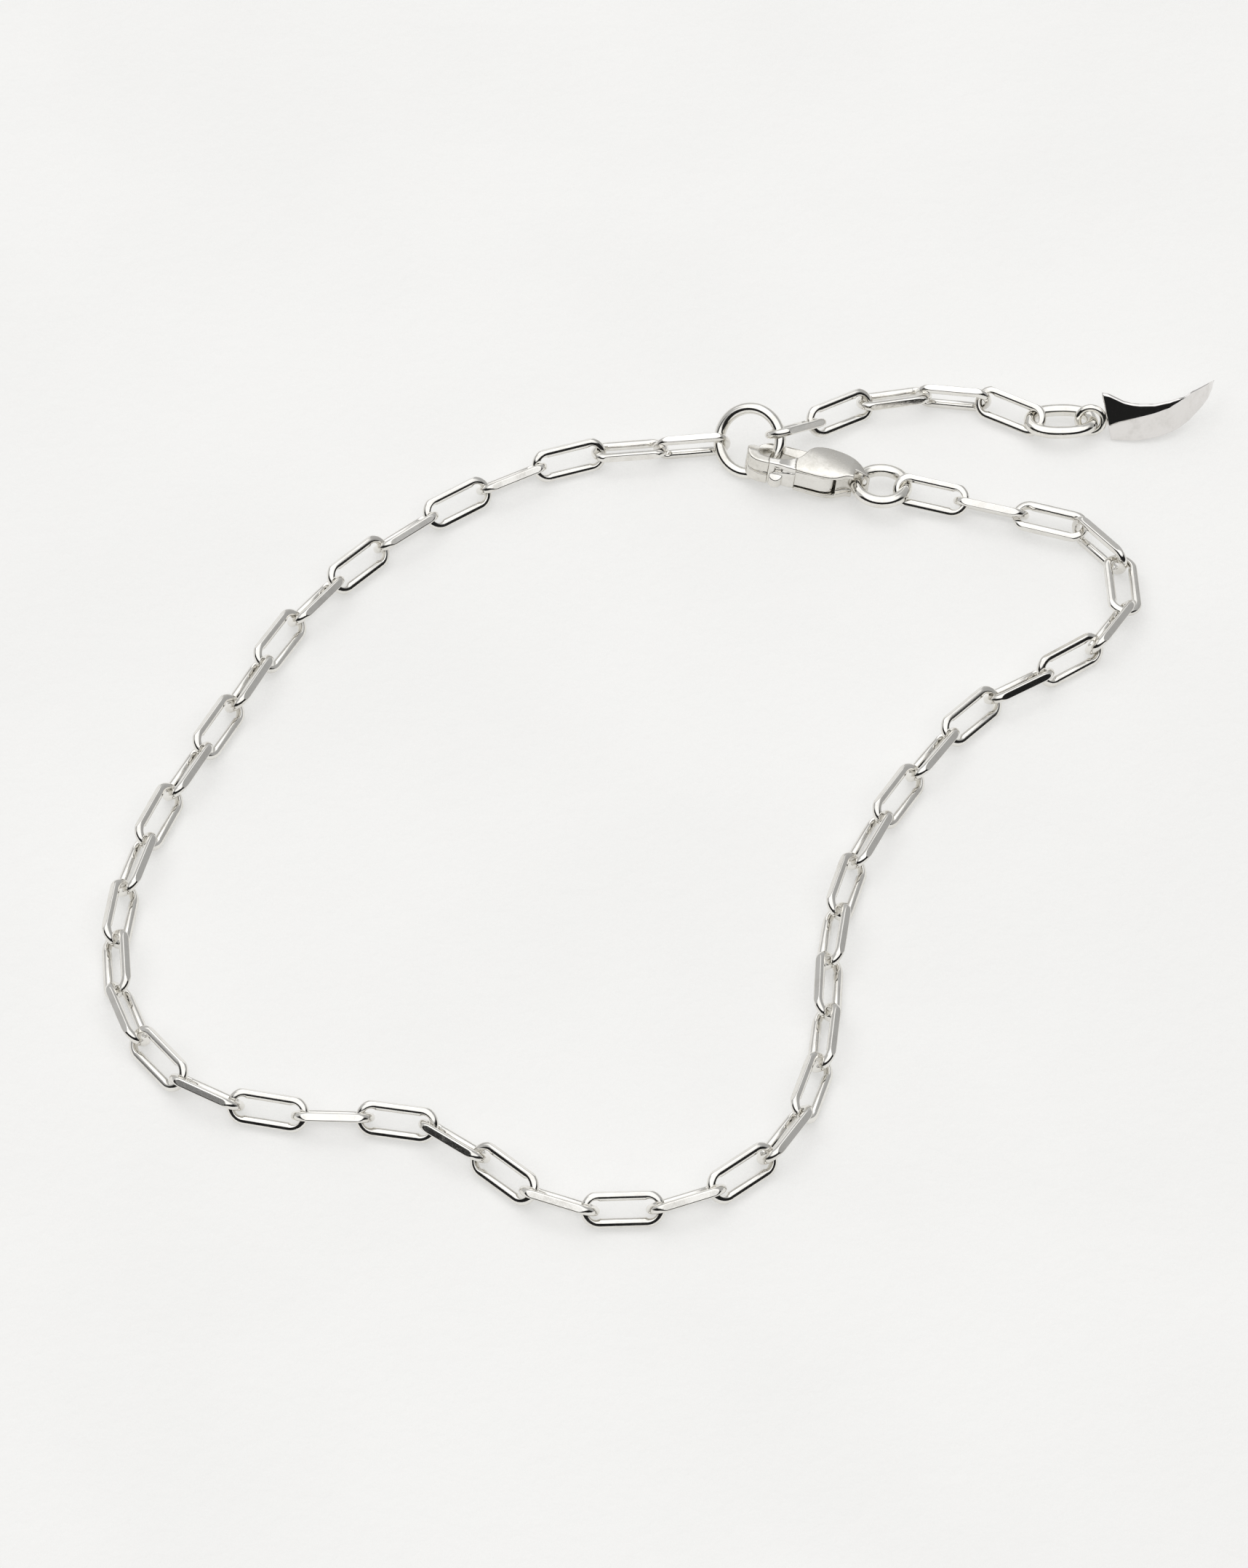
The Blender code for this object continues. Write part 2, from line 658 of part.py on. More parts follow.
def add_charm(joint):
    # Oval ring, then the claw whose bail hangs in it
    heading = radians(CHARM_RING_HEADING_DEG)
    rise = radians(CHARM_RING_RISE_DEG)
    along = Vector((cos(heading) * cos(rise), sin(heading) * cos(rise), sin(rise)))
    inner = CHARM_RING_LENGTH / 2 - CHARM_RING_WIRE - RING_CLEARANCE / 2
    centre = joint + (inner - CHARM_RING_SLACK) * along
    mesh = ring_mesh("charm_ring", CHARM_RING_LENGTH, CHARM_RING_WIDTH, CHARM_RING_WIRE)
    lean = radians(CHARM_RING_LEAN_DEG)
    normal = Vector((0, -sin(lean), cos(lean)))
    add_object("charm_ring", mesh, BRIGHT_SILVER, frame_matrix(centre, along, normal))

    far_joint = centre + inner * along
    bail_radius = (BAIL_DIAMETER - BAIL_WIRE) / 2
    bail_inner = bail_radius - BAIL_WIRE / 2 - RING_CLEARANCE / 2
    axis_heading = radians(CLAW_HEADING_DEG)
    axis = Vector((cos(axis_heading), sin(axis_heading), 0))
    bail_centre = far_joint + (bail_inner - BAIL_SLACK) * axis
    bail_centre.z = bail_radius * sin(radians(BAIL_RISE_DEG)) + BAIL_WIRE / 2
    bail_rise = radians(BAIL_RISE_DEG)
    level = up.cross(axis)
    rising = cos(bail_rise) * level + sin(bail_rise) * up
    base = bail_centre + (BAIL_DIAMETER / 2 - BAIL_SINK) * axis
    base.z = 0
    claw = add_object("claw_charm", claw_mesh(), POLISHED_SILVER, frame_matrix(base, axis, up))
    bail = ring_mesh("claw_bail", BAIL_DIAMETER, BAIL_DIAMETER, BAIL_WIRE)
    boolean(claw, "UNION", bail, frame_matrix(bail_centre, axis, axis.cross(rising)))
    return claw


def claw_mesh():
    # Horn that tapers along an arc, with a bright front facet and a top facet that narrows away
    turn = radians(CLAW_TURN_DEG)
    radius = CLAW_LENGTH / turn
    rows = []
    for i in range(CLAW_STATIONS):
        share = i / (CLAW_STATIONS - 1)
        angle = turn * share
        centre = Vector((radius * sin(angle), radius * (1 - cos(angle)), 0))
        skewed = angle + radians(CLAW_BASE_SKEW_DEG) * (1 - share) ** 3
        across = Vector((-sin(skewed), cos(skewed), 0))
        taper = (1 - share) ** 0.9
        width = max(CLAW_BASE_WIDTH * taper, CLAW_TIP_WIDTH)
        height = max(CLAW_BASE_HEIGHT * taper, CLAW_TIP_WIDTH)
        low = CLAW_TIP_HEIGHT * share ** 1.6
        ridge = min(-0.38 + 1.25 * share, 0.36)
        section = [
            (-0.50, 0.10), (ridge, 0.88), (0.42, 1.00), (0.50, 0.80), (0.46, 0.14), (0.00, 0.00),
        ]
        rows.append([centre + a * width * across + (low + b * height) * up for a, b in section])
    return mesh_from_rows("claw_charm", rows, closed_loop=False)


def settle_on_origin():
    # Moves everything so that the origin is the middle of the underside
    bpy.context.view_layer.update()
    graph = bpy.context.evaluated_depsgraph_get()
    low = Vector((1, 1, 1)) * 1e9
    high = -low
    for thing in bpy.data.objects:
        if thing.hide_render:
            continue
        solid = thing.evaluated_get(graph)
        for vertex in solid.data.vertices:
            point = solid.matrix_world @ vertex.co
            low = Vector(map(min, low, point))
            high = Vector(map(max, high, point))
    shift = Matrix.Translation((-(low.x + high.x) / 2, -(low.y + high.y) / 2, -low.z))
    for thing in bpy.data.objects:
        thing.matrix_world = shift @ thing.matrix_world
    bpy.context.view_layer.update()


def build():
    for thing in list(bpy.data.objects):
        bpy.data.objects.remove(thing)
    mesh = link_mesh()
    add_joining_ring()
    placing = clasp_placing()
    add_clasp_body(placing)
    add_lever(placing)
    chain_end = add_clasp_ring(placing)
    hold = JOINING_RING_WIRE / 2 + RING_CLEARANCE / 2
    chain_start = ring_point(CHAIN_START_ON_RING_DEG, joining_radius())
    extender_start = ring_point(EXTENDER_START_ON_RING_DEG, joining_radius())
    loop, scale = chain_points(Route(MAIN_ROUTE), MAIN_LINK_COUNT, chain_start, hold, chain_end)
    add_chain("link", mesh, loop)
    tail, _ = chain_points(Route(EXTENDER_ROUTE), EXTENDER_LINK_COUNT, extender_start, hold,
                           route_scale=scale)
    add_chain("extender_link", mesh, tail)
    add_charm(tail[-1][0])
    settle_on_origin()


build()
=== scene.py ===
import json
import math
import bpy
import numpy as np
from mathutils import Matrix, Vector

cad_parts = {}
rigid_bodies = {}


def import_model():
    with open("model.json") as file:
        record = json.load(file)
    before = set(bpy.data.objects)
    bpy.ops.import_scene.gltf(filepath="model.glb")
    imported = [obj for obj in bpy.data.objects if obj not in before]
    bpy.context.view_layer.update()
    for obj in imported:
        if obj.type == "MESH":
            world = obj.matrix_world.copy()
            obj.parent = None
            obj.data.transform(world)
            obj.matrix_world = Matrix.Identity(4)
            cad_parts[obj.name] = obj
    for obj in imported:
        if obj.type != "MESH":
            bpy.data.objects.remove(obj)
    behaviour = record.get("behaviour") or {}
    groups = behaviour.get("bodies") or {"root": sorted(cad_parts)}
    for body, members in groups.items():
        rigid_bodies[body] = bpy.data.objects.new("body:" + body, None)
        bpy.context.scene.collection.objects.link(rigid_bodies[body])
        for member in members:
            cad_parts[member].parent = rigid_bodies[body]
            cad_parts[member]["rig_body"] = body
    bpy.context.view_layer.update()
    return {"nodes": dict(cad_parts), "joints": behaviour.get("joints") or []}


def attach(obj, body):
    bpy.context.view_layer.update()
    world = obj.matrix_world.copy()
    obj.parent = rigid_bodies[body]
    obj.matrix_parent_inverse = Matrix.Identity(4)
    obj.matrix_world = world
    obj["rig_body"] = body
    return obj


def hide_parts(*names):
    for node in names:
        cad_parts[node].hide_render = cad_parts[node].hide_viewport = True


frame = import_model()
scene = bpy.context.scene
scene.view_settings.view_transform = "Standard"
mm = 0.001
up = Vector((0, 0, 1))
film = 36.0                                       # height of the camera's film in mm
focalPixels, photoHeight = 9000, 2156             # fitted to the chain in the photo
view = {"place": (-3.1797, -242.879, 289.68), "elevation": 49.99,
        "lens": focalPixels / photoHeight * film, "clip": (0.01, 10.0)}


class Field:
    # Shader maths: one socket, and arithmetic on it adds Math nodes
    def __init__(self, tree, socket):
        self.tree = tree
        self.socket = socket

    def node(self, kind, settings=None, **sockets):
        return addNode(self.tree, kind, settings, **sockets)

    def math(self, operation, *values):
        return self.node("ShaderNodeMath", {"operation": operation}, values=values)

    def __add__(self, other):
        return self.math("ADD", self, other)

    def __radd__(self, other):
        return self.math("ADD", other, self)

    def __sub__(self, other):
        return self.math("SUBTRACT", self, other)

    def __rsub__(self, other):
        return self.math("SUBTRACT", other, self)

    def __mul__(self, other):
        return self.math("MULTIPLY", self, other)

    def __rmul__(self, other):
        return self.math("MULTIPLY", other, self)

    def band(self, low, high):
        # 0 below low, 1 above high, smooth between
        return self.node("ShaderNodeMapRange", {"interpolation_type": "SMOOTHSTEP"},
                         Value=self, From_Min=low, From_Max=high)

    def mixed(self, first, second):
        # first where the field is 0, second where it is 1
        return self.node("ShaderNodeMix", {"data_type": "RGBA"}, Factor=self, A=first, B=second)


def addNode(tree, kind, settings=None, values=(), output=0, **sockets):
    # Sets the node's settings first, then its inputs by place (values) or by name
    node = tree.nodes.new(kind)
    for name, value in (settings or {}).items():
        setattr(node, name, value)
    if kind == "ShaderNodeMix":      # the colour sockets of a Mix node are its third set
        named = {"Factor": node.inputs[0], "A": node.inputs[6], "B": node.inputs[7]}
        output = 2
    else:
        named = {s.name.replace(" ", "_"): s for s in reversed(node.inputs)}
    pairs = [(node.inputs[i], v) for i, v in enumerate(values)]
    pairs += [(named[name], v) for name, v in sockets.items()]
    for socket, value in pairs:
        if isinstance(value, Field):
            tree.links.new(value.socket, socket)
        elif isinstance(value, tuple) and socket.type == "RGBA":
            socket.default_value = (*value, 1)[:4]
        else:
            socket.default_value = value
    return Field(tree, node.outputs[output])


coordObject, coordGenerated, infoRandom = 3, 0, 5     # outputs by their place on the node


def newMaterial(name):
    material = bpy.data.materials.new(name)
    material.use_nodes = True
    tree = material.node_tree
    return material, tree, tree.nodes["Principled BSDF"]


def plug(tree, shader, **sockets):
    # Links fields to the shader's inputs and sets plain values
    for name, value in sockets.items():
        socket = shader.inputs[name.replace("_", " ")]
        if isinstance(value, Field):
            tree.links.new(value.socket, socket)
        else:
            socket.default_value = value


# Silver finishes
linkSilver = {"tone": (0.84, 0.825, 0.79), "dull": (0.75, 0.73, 0.69), "roughness": 0.07,
              "wear": 0.08, "scratch": 0.05, "ripple": 0.02, "grain": 9.0}
wireSilver = {"tone": (0.85, 0.835, 0.795), "dull": (0.75, 0.73, 0.68), "roughness": 0.06,
              "wear": 0.07, "scratch": 0.04, "ripple": 0.025, "grain": 7.0}
castSilver = {"tone": (0.79, 0.77, 0.725), "dull": (0.66, 0.64, 0.59), "roughness": 0.16,
              "wear": 0.14, "scratch": 0.10, "ripple": 0.03, "grain": 6.0}
clawSilver = {"tone": (0.80, 0.78, 0.765), "dull": (0.72, 0.70, 0.68), "roughness": 0.05,
              "wear": 0.10, "scratch": 0.06, "ripple": 0.01, "grain": 5.0}
perMetre = (1000.0, 1000.0, 1000.0)               # brings metres to mm for the noise
finish = {"cloudScale": 0.9, "hairStretch": (2.0, 34.0, 30.0), "hairBand": (0.56, 0.74),
          "tarnishBand": (0.42, 0.70), "cloudShare": 0.7, "fineRelief": 0.004,
          "hairRelief": 0.006, "bump": 0.35, "bumpDepth": 0.00012, "offsets": (37.0, 11.0, 23.0)}


def silver(name, look):
    # Polished metal with soft tarnish, hairline scratches and a faint hammered ripple
    f = finish
    material, tree, shader = newMaterial(name)
    place = addNode(tree, "ShaderNodeTexCoord", output=coordObject)
    luck = addNode(tree, "ShaderNodeObjectInfo", output=infoRandom)
    inMm = addNode(tree, "ShaderNodeVectorMath", {"operation": "MULTIPLY_ADD"},
                   values=(place, perMetre, (0.0, 0.0, 0.0)))
    offset = addNode(tree, "ShaderNodeCombineXYZ", values=[luck * step for step in f["offsets"]])
    spot = addNode(tree, "ShaderNodeVectorMath", {"operation": "ADD"}, values=(inMm, offset))
    cloud = addNode(tree, "ShaderNodeTexNoise", Vector=spot, Scale=f["cloudScale"], Detail=3.0,
                    Roughness=0.6)
    fine = addNode(tree, "ShaderNodeTexNoise", Vector=spot, Scale=look["grain"], Detail=4.0,
                   Roughness=0.65)
    drawn = addNode(tree, "ShaderNodeVectorMath", {"operation": "MULTIPLY"},
                    values=(spot, f["hairStretch"]))
    hair = addNode(tree, "ShaderNodeTexNoise", Vector=drawn, Scale=1.0, Detail=2.0, Roughness=0.5)
    lines = hair.band(*f["hairBand"])
    tarnish = (cloud * f["cloudShare"] + fine * (1 - f["cloudShare"])).band(*f["tarnishBand"])
    relief = cloud * look["ripple"] + fine * f["fineRelief"] + lines * f["hairRelief"]
    plug(tree, shader, Metallic=1.0,
         Base_Color=tarnish.mixed(look["tone"], look["dull"]),
         Roughness=look["roughness"] + tarnish * look["wear"] + lines * look["scratch"],
         Normal=addNode(tree, "ShaderNodeBump", Strength=f["bump"], Distance=f["bumpDepth"],
                        Height=relief))
    return material


linkMetal = silver("link_silver", linkSilver)
wireMetal = silver("wire_silver", wireSilver)
castMetal = silver("clasp_silver", castSilver)
clawMetal = silver("claw_silver", clawSilver)


def makePiece(name, points, faces, material, node, placing=None):
    # One finished piece that stands for a CAD node and rides where that node rides
    mesh = bpy.data.meshes.new(name)
    mesh.from_pydata([tuple(p) for p in points], [], [tuple(f) for f in faces])
    if placing is not None:
        mesh.transform(placing)
    mesh.update()
    mesh.shade_smooth()
    mesh.materials.append(material)
    piece = bpy.data.objects.new(name, mesh)
    scene.collection.objects.link(piece)
    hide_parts(node)
    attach(piece, frame["nodes"][node]["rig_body"])


def skin(rows, closed):
    # Faces over a row of equal sections; an open row gets a cap at both ends
    count, sides = len(rows), len(rows[0])
    points = [p for row in rows for p in row]
    faces = []
    for i in range(count if closed else count - 1):
        j = (i + 1) % count
        for k in range(sides):
            n = (k + 1) % sides
            faces.append((i * sides + k, i * sides + n, j * sides + n, j * sides + k))
    if not closed:
        faces.append(tuple(reversed(range(sides))))
        faces.append(tuple((count - 1) * sides + k for k in range(sides)))
    return points, faces


def nodePlacing(node):
    # Middle and main directions of a symmetrical CAD node: length, width, thickness
    corners = [tuple(v.co) for v in frame["nodes"][node].data.vertices]
    corners = np.unique(np.round(corners, 8), axis=0)
    middle = corners.mean(0)
    axes = np.linalg.eigh(np.cov((corners - middle).T))[1]
    x, y = axes[:, 2], axes[:, 1]
    z = np.cross(x, y)
    if z[2] < 0:
        y, z = -y, -z
    turn = Matrix((x, y, z)).transposed().to_4x4()
    return Matrix.Translation(Vector(middle)) @ turn


def swell(value, power):
    # Power of a cosine or sine that keeps its sign
    return math.copysign(abs(value) ** power, value)


# Chain links
linkShape = {"length": 4.67, "width": 1.95, "barWidth": 0.50, "barDepth": 0.52,
             "facetCut": 0.10, "endTuck": 0.18, "sides": 36, "bendSteps": 22, "roundness": 2.3,
             "innerRoundness": 0.95, "crowding": 1.5}


def linkMesh():
    # Wire bent to a long oval, cut flat along both outer sides and thinner inside its two ends
    s = linkShape
    half = s["barWidth"] / 2
    bend = s["width"] / 2 - half
    reach = s["length"] / 2 - half - bend - s["facetCut"]
    steps = s["bendSteps"]
    quarter = [90 * (k / steps) ** s["crowding"] for k in range(steps + 1)]
    sweep = [a - 90 for a in quarter] + [90 - a for a in reversed(quarter)][1:]
    rows = []
    for end in (1, -1):
        for angle in sweep:
            turn = math.radians(angle)
            outX, outY = end * math.cos(turn), end * math.sin(turn)
            tucked = math.cos(turn)
            inner = half - s["endTuck"] * (1 - (1 - tucked) ** 2)
            row = []
            for k in range(s["sides"]):
                around = 2 * math.pi * k / s["sides"]
                c, w = math.cos(around), math.sin(around)
                outside = c > 0
                power = 2 / s["roundness"]
                r = swell(c, power) * (half + s["facetCut"]) if outside else c * inner
                side = swell(w, power if outside else s["innerRoundness"]) * s["barDepth"] / 2
                x = end * reach + outX * (bend + r)
                y = outY * (bend + r)
                y = max(min(y, s["width"] / 2), -s["width"] / 2)
                row.append((x * mm, y * mm, side * mm))
            rows.append(row)
    return skin(rows, closed=True)


points, faces = linkMesh()
for name in sorted(frame["nodes"]):
    if "link_" in name:
        makePiece("silver_" + name, points, faces, linkMetal, name,
                  nodePlacing(name))
print("links done")


# Rings
ringShapes = {
    "joining_ring": {"length": 4.62, "width": 4.62, "wire": 0.70},
    "clasp_ring": {"length": 3.70, "width": 3.70, "wire": 0.76},
    "charm_ring": {"length": 4.50, "width": 2.90, "wire": 0.74},
}
ringSteps, wireSides, ovalPower = 120, 32, 2.35


def ringMesh(length, width, wire):
    # Round wire bent to a ring or an oval
    a, b = (length - wire) / 2, (width - wire) / 2
    power = 2 / ovalPower if length != width else 1.0
    path = []
    for k in range(ringSteps):
        t = 2 * math.pi * k / ringSteps
        path.append(Vector((swell(math.cos(t), power) * a, swell(math.sin(t), power) * b, 0)))
    rows = []
    for k, point in enumerate(path):
        ahead = (path[(k + 1) % ringSteps] - path[k - 1]).normalized()
        out = Vector((ahead.y, -ahead.x, 0))
        row = []
        for i in range(wireSides):
            t = 2 * math.pi * i / wireSides
            spot = point + wire / 2 * (math.cos(t) * out + math.sin(t) * up)
            row.append(tuple(spot * mm))
        rows.append(row)
    return skin(rows, closed=True)


for name, shape in ringShapes.items():
    points, faces = ringMesh(**shape)
    makePiece("silver_" + name, points, faces, wireMetal, name, nodePlacing(name))
print("rings done")


# Solids from distance fields, for the cast clasp and its lever
def curveThrough(points, steps=6):
    # Smooth closed line through plan points
    pts = [np.array(p, float) for p in points]
    n = len(pts)
    out = []
    for i in range(n):
        p0, p1, p2, p3 = pts[i - 1], pts[i], pts[(i + 1) % n], pts[(i + 2) % n]
        for k in range(steps):
            t = k / steps
            out.append(0.5 * (2 * p1 + (p2 - p0) * t + (2 * p0 - 5 * p1 + 4 * p2 - p3) * t * t
                              + (3 * p1 - p0 - 3 * p2 + p3) * t ** 3))
    return np.array(out)


def outlineDistance(p, outline):
    # Distance to a closed plan outline, negative inside
    x, y = p[:, 0], p[:, 1]
    far, tiny = 1e9, 1e-12
    best = np.full(len(p), far)
    inside = np.zeros(len(p), bool)
    for a, b in zip(outline, np.roll(outline, -1, axis=0)):
        ex, ey = b - a
        wx, wy = x - a[0], y - a[1]
        t = np.clip((wx * ex + wy * ey) / (ex * ex + ey * ey + tiny), 0, 1)
        best = np.minimum(best, (wx - t * ex) ** 2 + (wy - t * ey) ** 2)
        if ey:
            crossing = (a[1] > y) != (b[1] > y)
            inside ^= crossing & (x < a[0] + (y - a[1]) * ex / ey)
    return np.where(inside, -1, 1) * np.sqrt(best)


def within(value, low, high):
    # Negative between the two limits
    return np.abs(value - (low + high) / 2) - (high - low) / 2


def ramp(value, start, length):
    # 0 at start and 1 one length on; a negative length runs down from start
    return np.clip((value - start) / length, 0, 1)


def slab(flat, z, low, high, edge):
    # Plan distance between two heights, with edges rounded by edge
    w1 = flat + edge
    w2 = within(z, low, high) + edge
    outer = np.sqrt(np.maximum(w1, 0) ** 2 + np.maximum(w2, 0) ** 2)
    return np.minimum(np.maximum(w1, w2), 0) + outer - edge


def joined(a, b, blend):
    # Both forms, with a rounded seam
    h = np.clip(0.5 + 0.5 * (b - a) / blend, 0, 1)
    return b + (a - b) * h - blend * h * (1 - h)


def cut(a, b, blend):
    # The first form without the second
    return -joined(-a, b, blend)


def fieldMesh(field, low, high, step):
    # Quads over the zero surface of a distance field, pulled exactly onto it
    axes = [np.arange(lo, hi + step, step) for lo, hi in zip(low, high)]
    grid = np.stack(np.meshgrid(*axes, indexing="ij"), -1)
    shape = grid.shape[:3]
    value = field(grid.reshape(-1, 3)).reshape(shape)
    solid = value < 0
    nx, ny, nz = (n - 1 for n in shape)
    total = np.zeros((nx, ny, nz, 3))
    hits = np.zeros((nx, ny, nz))
    corners = [(i, j, k) for i in (0, 1) for j in (0, 1) for k in (0, 1)]

    def part(data, c):
        return data[c[0]:c[0] + nx, c[1]:c[1] + ny, c[2]:c[2] + nz]

    # Each grid cell that the surface runs through gets one point, the mean of its crossings
    for a in corners:
        for b in corners:
            if sum(abs(u - v) for u, v in zip(a, b)) != 1 or a > b:
                continue
            va, vb = part(value, a), part(value, b)
            crossing = (va < 0) != (vb < 0)
            t = np.where(crossing, va / np.where(va == vb, 1, va - vb), 0)
            for axis in range(3):
                total[..., axis] += crossing * (a[axis] + t * (b[axis] - a[axis]))
            hits += crossing
    used = hits > 0
    index = -np.ones((nx, ny, nz), int)
    index[used] = np.arange(used.sum())
    cells = np.argwhere(used)
    points = (cells + total[used] / hits[used][:, None]) * step + np.array([a[0] for a in axes])
    # Each grid edge that the surface crosses gets one quad between the four cells round it
    faces = []
    for axis in range(3):
        u, v = (axis + 1) % 3, (axis + 2) % 3
        lo = [slice(1, nx), slice(1, ny), slice(1, nz)]
        lo[axis] = slice(0, (nx, ny, nz)[axis])
        here = solid[tuple(lo)]
        shift = list(lo)
        shift[axis] = slice(1, (nx, ny, nz)[axis] + 1)
        there = solid[tuple(shift)]
        for flip in (False, True):
            change = (here & ~there) if not flip else (~here & there)
            where = np.argwhere(change) + np.array([s.start for s in lo])
            quads = []
            for du, dv in ((0, 0), (1, 0), (1, 1), (0, 1)):
                cell = where.copy()
                cell[:, u] -= du
                cell[:, v] -= dv
                quads.append(index[cell[:, 0], cell[:, 1], cell[:, 2]])
            quads = np.stack(quads, -1)
            faces.append(quads[:, ::-1] if flip else quads)
    faces = np.concatenate(faces)
    faces = faces[(faces >= 0).all(1)]
    # A few steps along the slope bring the points onto the surface
    nudge, pulls, flattest = 0.002, 4, 0.25
    for _ in range(pulls):
        value = field(points)
        slope = np.stack([(field(points + e) - field(points - e)) / (2 * nudge)
                          for e in np.eye(3) * nudge], -1)
        size = np.maximum((slope ** 2).sum(1), flattest)
        move = (value / size)[:, None] * slope
        points = points - np.clip(move, -step / 2, step / 2)
    return points, faces


# Clasp, in mm: x from the nose to the tail, y across from the lever's side, z up from the underside
claspShape = {"heading": -15.5, "thickness": 2.0, "pivot": (4.90, 0.706, 1.0), "step": 0.055,
              "seamRadius": 1.77, "seamGap": 0.006, "noseReach": 3.39, "cheek": 0.30, "blend": 0.10}
# Values for ramp are a start and a length
crownShape = {"centre": (4.9, 1.2), "spread": (2.9, 1.5), "most": 1.3, "fall": 0.16,
              "front": (2.2, 1.6), "tail": (6.3, 1.4), "tailFall": 0.42}
hookShape = {"edge": 0.10, "spineTop": 1.12, "rise": (2.05, -1.5), "spineFall": 0.30,
             "spineRamp": (2.35, -0.5), "spineStart": 1.6, "noseLift": 0.28, "liftTurn": 0.9,
             "liftRamp": (2.1, -2.1), "liftEnd": 1.8, "seamSide": 1.0, "grooveHeight": 0.98,
             "grooveLeast": 0.01, "grooveMore": 0.12, "grooveRamp": (0.3, 1.1),
             "grooveDepth": 0.15, "grooveSide": 0.6, "grooveEdge": 0.04}
plateShape = {"edge": 0.11, "pocketSide": 1.62, "pocketEnd": 5.68, "pocketEdge": 0.05,
              "insetHeight": (0.40, 1.60), "insetDepth": 0.24, "insetLength": (5.0, 6.62),
              "insetSide": 1.0, "insetEdge": 0.06, "seamSide": 1.25, "seamEdge": 0.02,
              "pinRadius": 0.30, "pinHeight": (0.15, 1.85), "eyeCentre": (6.88, 1.0),
              "eyeRadius": 0.52}
leverShape = {"low": 0.15, "edge": 0.10, "play": 0.08, "recessHeight": 1.47, "recessHalf": 0.24,
              "recessFrom": 3.3, "recessLength": 1.3, "recessLeast": 0.15, "recessSide": 0.18,
              "recessStart": 1.98, "blend": 0.05, "rootEdge": 0.08, "nubLow": 0.28,
              "nubTop": 1.04, "nubSlope": 0.4, "nubSide": -0.2, "nubEdge": 0.09,
              "boreRadius": 0.37}
hookOutline = [
    (3.75, 2.33), (2.6, 2.37), (1.6, 2.36), (0.95, 2.24), (0.45, 1.93), (0.13, 1.45), (0.03, 1.0),
    (0.10, 0.55), (0.30, 0.17), (0.62, -0.05), (1.06, -0.13), (1.50, -0.10), (2.0, -0.05),
    (2.2, 0.25), (2.0, 0.52), (1.50, 0.43), (1.15, 0.44), (0.92, 0.52), (0.81, 0.75), (0.86, 1.05),
    (1.0, 1.35), (1.25, 1.65), (1.6, 1.84), (2.2, 1.88), (3.0, 1.84), (3.75, 1.75),
]
plateOutline = [
    (2.6, -0.01), (3.12, 0.01), (3.7, 0.02), (4.4, 0.01), (5.1, 0.06), (5.62, 0.19), (6.02, 0.42),
    (6.35, 0.62), (6.75, 0.69), (7.25, 0.69), (7.55, 0.76), (7.68, 0.95), (7.66, 1.15), (7.5, 1.36),
    (7.2, 1.60), (6.8, 1.90), (6.27, 2.20), (5.66, 2.37), (4.79, 2.43), (4.30, 2.37), (3.90, 2.20),
    (3.66, 1.95), (3.52, 1.66), (3.38, 1.35), (3.22, 1.10), (2.95, 0.89), (2.6, 0.70),
]
leverOutline = [
    (1.1, -0.13), (1.55, -0.10), (2.0, -0.05), (2.6, -0.01), (3.3, 0.02), (3.5, 0.5), (3.3, 1.1),
    (3.05, 0.96), (2.6, 0.66), (2.1, 0.49), (1.59, 0.40), (1.1, 0.40),
]
rootOutline = [
    (2.4, 0.08), (3.2, 0.11), (4.2, 0.14), (4.9, 0.16), (5.35, 0.28), (5.55, 0.55), (5.50, 0.95),
    (5.2, 1.25), (4.8, 1.33), (4.3, 1.28), (3.5, 1.15), (2.9, 0.85),
]
nubOutline = [
    (1.72, 0.25), (1.72, -0.20), (1.82, -0.35), (2.02, -0.43), (2.22, -0.42), (2.40, -0.30),
    (2.50, -0.12), (2.52, 0.25),
]

hookCurve = curveThrough(hookOutline)
plateCurve = curveThrough(plateOutline)
rootCurve = curveThrough(rootOutline)
nubCurve = curveThrough(nubOutline)
leverCurve = np.array(leverOutline)


def crown(x, y):
    # How far the top of the clasp falls away from its middle
    s = crownShape
    off = np.hypot((x - s["centre"][0]) / s["spread"][0], (y - s["centre"][1]) / s["spread"][1])
    fall = s["fall"] * np.clip(off, 0, s["most"]) ** 2
    return fall * ramp(x, *s["front"]) + s["tailFall"] * ramp(x, *s["tail"]) ** 2


def claspHook(p, reach):
    # Arched spine and nose, with a groove round the nose
    h, top = hookShape, claspShape["thickness"]
    x, y, z = p.T
    flat = outlineDistance(p, hookCurve)
    rise = ramp(y, *h["rise"])
    rise = rise * rise * (3 - 2 * rise)
    arch = h["spineTop"] + (top - h["spineTop"]) * rise
    arch -= h["spineFall"] * (1 - rise) * ramp(y, *h["spineRamp"]) * (y > h["spineStart"])
    under = np.sin(h["liftTurn"] * math.pi * ramp(y, *h["liftRamp"]))
    under = h["noseLift"] * under * (x < h["liftEnd"])
    hook = slab(flat, z, under, arch, h["edge"])
    groove = h["grooveLeast"] + h["grooveMore"] * ramp(x, *h["grooveRamp"])
    groove = np.maximum(np.abs(z - h["grooveHeight"]) - groove, np.abs(flat) - h["grooveDepth"])
    hook = cut(hook, np.maximum(groove, y - h["grooveSide"]), h["grooveEdge"])
    seam = claspShape["noseReach"] + claspShape["seamGap"] - reach
    return np.maximum(hook, np.minimum(seam, h["seamSide"] - y))


